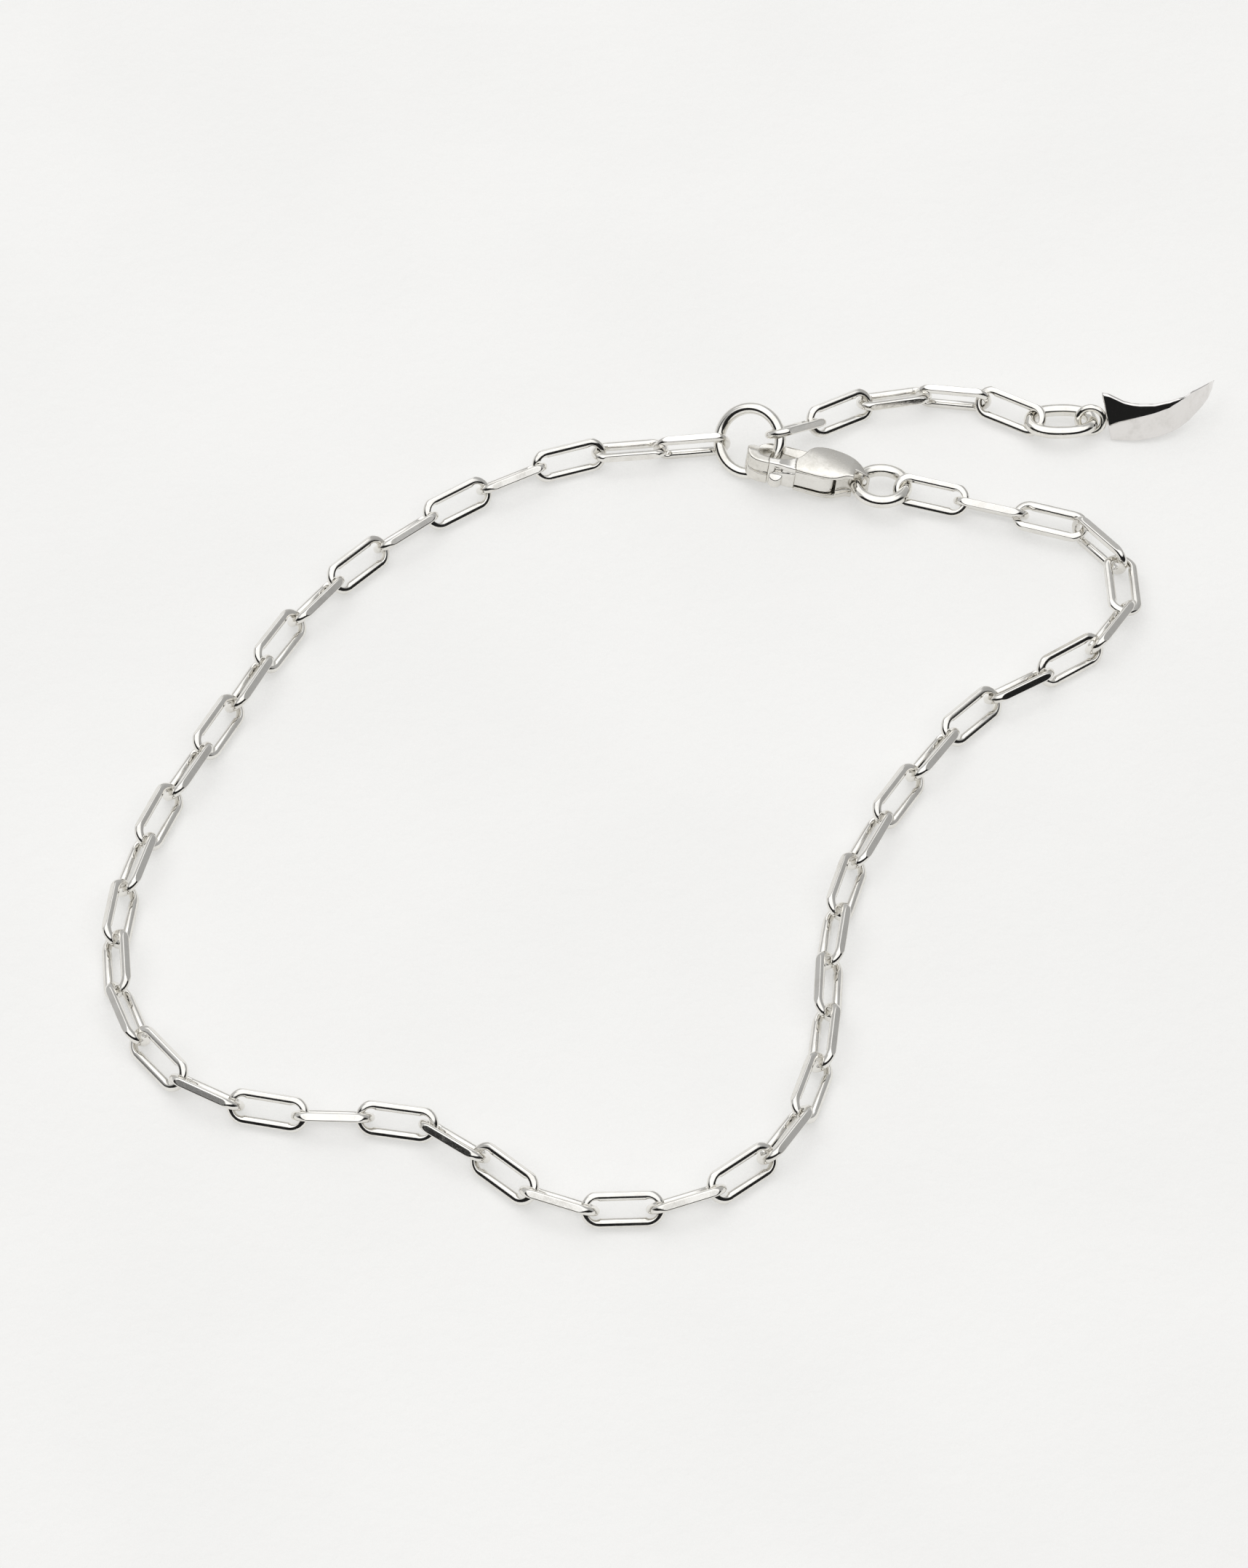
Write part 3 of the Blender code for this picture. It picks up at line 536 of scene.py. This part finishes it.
def claspPlate(p, reach):
    # Crowned plate with a slot for the lever's root, a sunk side face and the arc of the seam
    s, f = claspShape, plateShape
    x, y, z = p.T
    flat = outlineDistance(p, plateCurve)
    plate = slab(flat, z, 0, s["thickness"] - crown(x, y), f["edge"])
    pocket = np.maximum(y - f["pocketSide"], x - f["pocketEnd"])
    pocket = np.maximum(within(z, s["cheek"], s["thickness"] - s["cheek"]), pocket)
    plate = cut(plate, pocket, f["pocketEdge"])
    inset = np.maximum(within(z, *f["insetHeight"]), -flat - f["insetDepth"])
    inset = np.maximum(inset, np.maximum(within(x, *f["insetLength"]), y - f["insetSide"]))
    plate = cut(plate, inset, f["insetEdge"])
    return cut(plate, np.maximum(s["seamRadius"] - reach, y - f["seamSide"]), f["seamEdge"])


def pivotReach(x, y):
    return np.hypot(x - claspShape["pivot"][0], y - claspShape["pivot"][1])


def claspBody(p):
    # Hook and plate in one casting, with the pin of the pivot and the bored eye
    f, blend = plateShape, claspShape["blend"]
    x, y, z = p.T
    reach = pivotReach(x, y)
    pin = np.maximum(reach - f["pinRadius"], within(z, *f["pinHeight"]))
    body = np.minimum(joined(claspHook(p, reach), claspPlate(p, reach), blend), pin)
    hole = np.hypot(x - f["eyeCentre"][0], z - f["eyeCentre"][1]) - f["eyeRadius"]
    return cut(body, hole, blend)


def claspLever(p):
    # Arm with a recess in its outer side, root round the pin, and thumb nub
    s, f = claspShape, leverShape
    x, y, z = p.T
    reach = pivotReach(x, y)
    top = s["thickness"]
    arm = slab(outlineDistance(p, leverCurve), z, f["low"], top - crown(x, y), f["edge"])
    arm = np.maximum(arm, reach - s["noseReach"])
    arm = np.maximum(arm, s["seamRadius"] + s["seamGap"] - reach)
    half = np.clip((f["recessFrom"] - x) / f["recessLength"], f["recessLeast"], 1)
    recess = np.abs(z - f["recessHeight"]) - f["recessHalf"] * half
    recess = np.maximum(np.maximum(recess, y - f["recessSide"]), f["recessStart"] - x)
    arm = cut(arm, recess, f["blend"])
    inward = s["cheek"] + f["play"]
    root = slab(outlineDistance(p, rootCurve), z, inward, top - inward, f["rootEdge"])
    nubTop = f["nubTop"] + f["nubSlope"] * (y - f["nubSide"])
    nub = slab(outlineDistance(p, nubCurve), z, f["nubLow"], nubTop, f["nubEdge"])
    lever = joined(joined(arm, root, f["blend"]), nub, f["blend"])
    return np.maximum(lever, f["boreRadius"] - reach)


def claspPlacing():
    # The clasp's own axes, from the pivot and direction of the lever's joint
    joint = frame["joints"][0]
    z = -Vector(joint["axis"]).normalized()
    turn = math.radians(claspShape["heading"])
    x = Vector((math.cos(turn), math.sin(turn), 0))
    x = (x - x.dot(z) * z).normalized()
    y = z.cross(x)
    axes = Matrix((x, y, z)).transposed()
    origin = Vector(joint["pos_m"]) - axes @ (Vector(claspShape["pivot"]) * mm)
    return Matrix.Translation(origin) @ axes.to_4x4()


claspPieces = {
    "clasp_body": {"field": claspBody, "low": (-0.1, -0.3, -0.1), "high": (7.9, 2.65, 2.2),
                   "metal": castMetal, "slot": "satin_silver"},
    "clasp_lever": {"field": claspLever, "low": (1.4, -0.6, 0.0), "high": (5.8, 1.5, 2.2),
                    "metal": linkMetal, "slot": "polished_silver"},
}
for name, s in claspPieces.items():
    points, faces = fieldMesh(s["field"], s["low"], s["high"], claspShape["step"])
    makePiece("silver_" + name, points * mm, faces, s["metal"], name, claspPlacing())
print("clasp done")


# Claw charm
clawShape = {"stations": 90, "crowding": 1.25, "start": 25.64, "length": 7.03, "slant": 0.62,
             "slantFade": 3, "low": 0.112, "tipLift": 0.8, "liftPower": 1.6, "frontLean": 72.0,
             "topLean": 54.0, "ridgeOver": 0.03, "ridgeUnder": 0.02, "leastTop": 0.01,
             "baseHeight": 2.65, "band": 0.20, "backIn": 0.16, "backDrop": 0.30, "heelIn": 0.05,
             "heelUp": 0.25, "belly": 0.02, "edge": 0.07, "leastEdge": 0.01}
bailShape = {"centre": (25.009, 28.118, 1.033), "diameter": 2.0, "wire": 0.44, "rise": 64.0,
             "heading": -6.0}
# Pixels read off an enlarged crop of the photo: right and down from the crop's corner
crop = {"corner": (1395, 500), "enlarged": 5}
clawUpper = [(590, 205), (640, 215), (690, 240), (740, 265), (790, 278), (850, 285), (950, 285),
             (1050, 265), (1150, 235), (1250, 185), (1320, 145), (1385, 103)]
clawLower = [(590, 500), (665, 530), (750, 534), (830, 535), (920, 524), (1000, 505), (1070, 478),
             (1130, 445), (1195, 395), (1250, 340), (1300, 285), (1340, 230), (1370, 165),
             (1388, 106)]
clawRidge = [(590, 455), (655, 425), (700, 410), (760, 395), (870, 370), (950, 350), (1050, 315),
             (1150, 255), (1220, 200), (1290, 163), (1380, 107)]
# The photo's middle, the scale near the claw, and the place along the claw that the middle shows
pictureMiddle, pixelsPerMm, middlePlace = (858, 1078), 22.73, -3.18


def pictureLine(pixels):
    # Places along the claw and heights above the picture's middle, to 0.01 mm
    xs, ys = [], []
    for right, down in pixels:
        right = crop["corner"][0] + right / crop["enlarged"]
        down = crop["corner"][1] + down / crop["enlarged"]
        xs.append(round((right - pictureMiddle[0]) / pixelsPerMm + middlePlace, 2))
        ys.append(round((pictureMiddle[1] - down) / pixelsPerMm, 2))
    return lambda x: float(np.interp(x, xs, ys))


def clawMesh():
    # Slices across the claw; seen from the camera they fill the outline above
    s = clawShape
    tilt = math.radians(view["elevation"])
    sight = np.array([math.sin(tilt), math.cos(tilt)])    # what y and z add to a picture height
    leans = [math.radians(s[part]) for part in ("frontLean", "topLean")]
    frontWay, topWay = (np.array([math.cos(lean), math.sin(lean)]) for lean in leans)
    upperAt, lowerAt, ridgeAt = (pictureLine(line) for line in (clawUpper, clawLower, clawRidge))
    rows = []
    for i in range(s["stations"]):
        share = 1 - (1 - i / (s["stations"] - 1)) ** s["crowding"]
        x = s["start"] + s["length"] * share
        slant = s["slant"] * (1 - share) ** s["slantFade"]
        low = s["low"] + s["tipLift"] * share ** s["liftPower"]
        lower, upper = lowerAt(x + slant), upperAt(x)
        ridge = max(ridgeAt(x + slant / 2), lower + s["ridgeOver"])
        ridge = min(ridge, upper - s["ridgeUnder"])
        size = (upper - lower) / s["baseHeight"]
        band = s["band"] * size
        front = (ridge - lower) / frontWay.dot(sight)
        top = max(upper - ridge - band * sight[0], s["leastTop"]) / topWay.dot(sight)
        y = (lower - (low - view["place"][2]) * sight[1]) / sight[0] + view["place"][1]
        foot = np.array([y, low])
        crease = foot + front * frontWay
        crest = crease + top * topWay
        rear = crest + [band, 0.0]
        back = rear + [s["backIn"] * size, -s["backDrop"] * size]
        heel = np.array([back[0] - s["heelIn"] * size, low + s["heelUp"] * size])
        belly = np.array([(foot[0] + back[0]) / 2, low - s["belly"] * size])
        outline = roundedSection([foot, crease, crest, rear, back, heel, belly],
                                 s["edge"] * size + s["leastEdge"])
        rise = crest[1] - low
        rows.append([((x + slant * (1 - (height - low) / rise)) * mm, across * mm, height * mm)
                     for across, height in outline])
    return skin(rows, closed=False)


def roundedSection(corners, radius, steps=4):
    # Polygon with each corner replaced by a short arc, over a share of its sides at most
    most = 0.3
    out = []
    n = len(corners)
    for i in range(n):
        p = np.array(corners[i])
        a, b = np.array(corners[i - 1]) - p, np.array(corners[(i + 1) % n]) - p
        ra = min(radius, most * np.linalg.norm(a)) * a / np.linalg.norm(a)
        rb = min(radius, most * np.linalg.norm(b)) * b / np.linalg.norm(b)
        for k in range(steps + 1):
            t = k / steps
            out.append((p + ra * (1 - t) ** 2 + rb * t * t).tolist())
    return out


points, faces = clawMesh()
makePiece("silver_claw_charm", points, faces, clawMetal, "claw_charm")
points, faces = ringMesh(bailShape["diameter"], bailShape["diameter"], bailShape["wire"])
heading, rise = math.radians(bailShape["heading"]), math.radians(bailShape["rise"])
axis = Vector((math.cos(heading), math.sin(heading), 0))
rising = math.cos(rise) * up.cross(axis) + math.sin(rise) * up
bailTurn = Matrix((axis, rising, axis.cross(rising))).transposed().to_4x4()
makePiece("silver_claw_bail", points, faces, wireMetal, "claw_charm",
          Matrix.Translation(Vector(bailShape["centre"]) * mm) @ bailTurn)
print("claw done")


# Table, light and camera
# The sheet's emission tint and strength are a painted fill light: an even glow that softens the
# shadows on it
paperLook = {"tone": (0.555, 0.55, 0.54), "shade": (0.535, 0.53, 0.52), "softScale": 45.0,
             "softBand": (0.35, 0.65), "through": (1.0, 1.0, 0.985), "paintedFillStrength": 0.42,
             "toothScale": 900.0, "bump": 0.30, "bumpDepth": 0.0004}


def paper():
    # Matt white sheet with a fine tooth; its even emission is a painted fill light that softens the
    # shadows on it
    look = paperLook
    material, tree, shader = newMaterial("white_paper")
    place = addNode(tree, "ShaderNodeTexCoord", output=coordObject)
    tooth = addNode(tree, "ShaderNodeTexNoise", Vector=place, Scale=look["toothScale"],
                    Detail=5.0, Roughness=0.6)
    soft = addNode(tree, "ShaderNodeTexNoise", Vector=place, Scale=look["softScale"], Detail=3.0)
    plug(tree, shader, Roughness=0.9, Specular_IOR_Level=0.2,
         Base_Color=soft.band(*look["softBand"]).mixed(look["tone"], look["shade"]),
         # Painted fill light: the sheet glows evenly so the shadows on it stay faint
         Emission_Color=(*look["through"], 1), Emission_Strength=look["paintedFillStrength"],
         Normal=addNode(tree, "ShaderNodeBump", Strength=look["bump"],
                        Distance=look["bumpDepth"], Height=tooth))
    return material


sheetSize, sheetDrop = 1.6, 0.00002
bpy.ops.mesh.primitive_plane_add(size=sheetSize, location=(0, 0, -sheetDrop))
table = bpy.context.object
table.name = "paper_sheet"
table.data.materials.append(paper())

studio = {"wall": 0.50, "ceiling": 0.66, "ceilingLean": 0.35, "ceilingBand": (0.58, 0.82),
          "right": 0.10, "rightBand": (0.2, 0.9), "dark": 0.015, "darkBand": (0.02, 0.20),
          "darkTop": (0.55, 0.65), "strength": 1.08}
world = bpy.data.worlds.new("studio")
scene.world = world
world.use_nodes = True
tree = world.node_tree
way = addNode(tree, "ShaderNodeTexCoord", output=coordGenerated)
ways = addNode(tree, "ShaderNodeSeparateXYZ", Vector=way).socket.node.outputs
wayX, wayY, wayZ = (Field(tree, socket) for socket in ways)
# White ceiling towards the front, grey walls, and the photographer's side unlit
high = (wayZ - wayY * studio["ceilingLean"]).band(*studio["ceilingBand"])
unlit = (wayY * -1.0).band(*studio["darkBand"]) * (1.0 - wayZ.band(*studio["darkTop"]))
lit = studio["wall"] + high * studio["ceiling"]
lit = lit - wayX.band(*studio["rightBand"]) * studio["right"]
plug(tree, tree.nodes["Background"], Color=lit + unlit * (studio["dark"] - lit),
     Strength=studio["strength"])

softbox = {"place": (-0.60, 1.10, 1.80), "size": (2.4, 1.8), "power": 8.0}
lamp = bpy.data.lights.new("softbox", "AREA")
lamp.shape = "RECTANGLE"
lamp.size, lamp.size_y = softbox["size"]
lamp.energy = softbox["power"]
lampObject = bpy.data.objects.new("softbox", lamp)
scene.collection.objects.link(lampObject)
lampObject.location = softbox["place"]
toTable = -Vector(softbox["place"])
lampObject.rotation_euler = toTable.to_track_quat("-Z", "Y").to_euler()
print("studio done")

cameraData = bpy.data.cameras.new("camera")
cameraData.sensor_fit = "VERTICAL"
cameraData.sensor_height = film
cameraData.lens = view["lens"]
cameraData.clip_start, cameraData.clip_end = view["clip"]
camera = bpy.data.objects.new("camera", cameraData)
scene.collection.objects.link(camera)
camera.location = Vector(view["place"]) * mm
camera.rotation_euler = (math.radians(90 - view["elevation"]), 0, 0)
scene.camera = camera
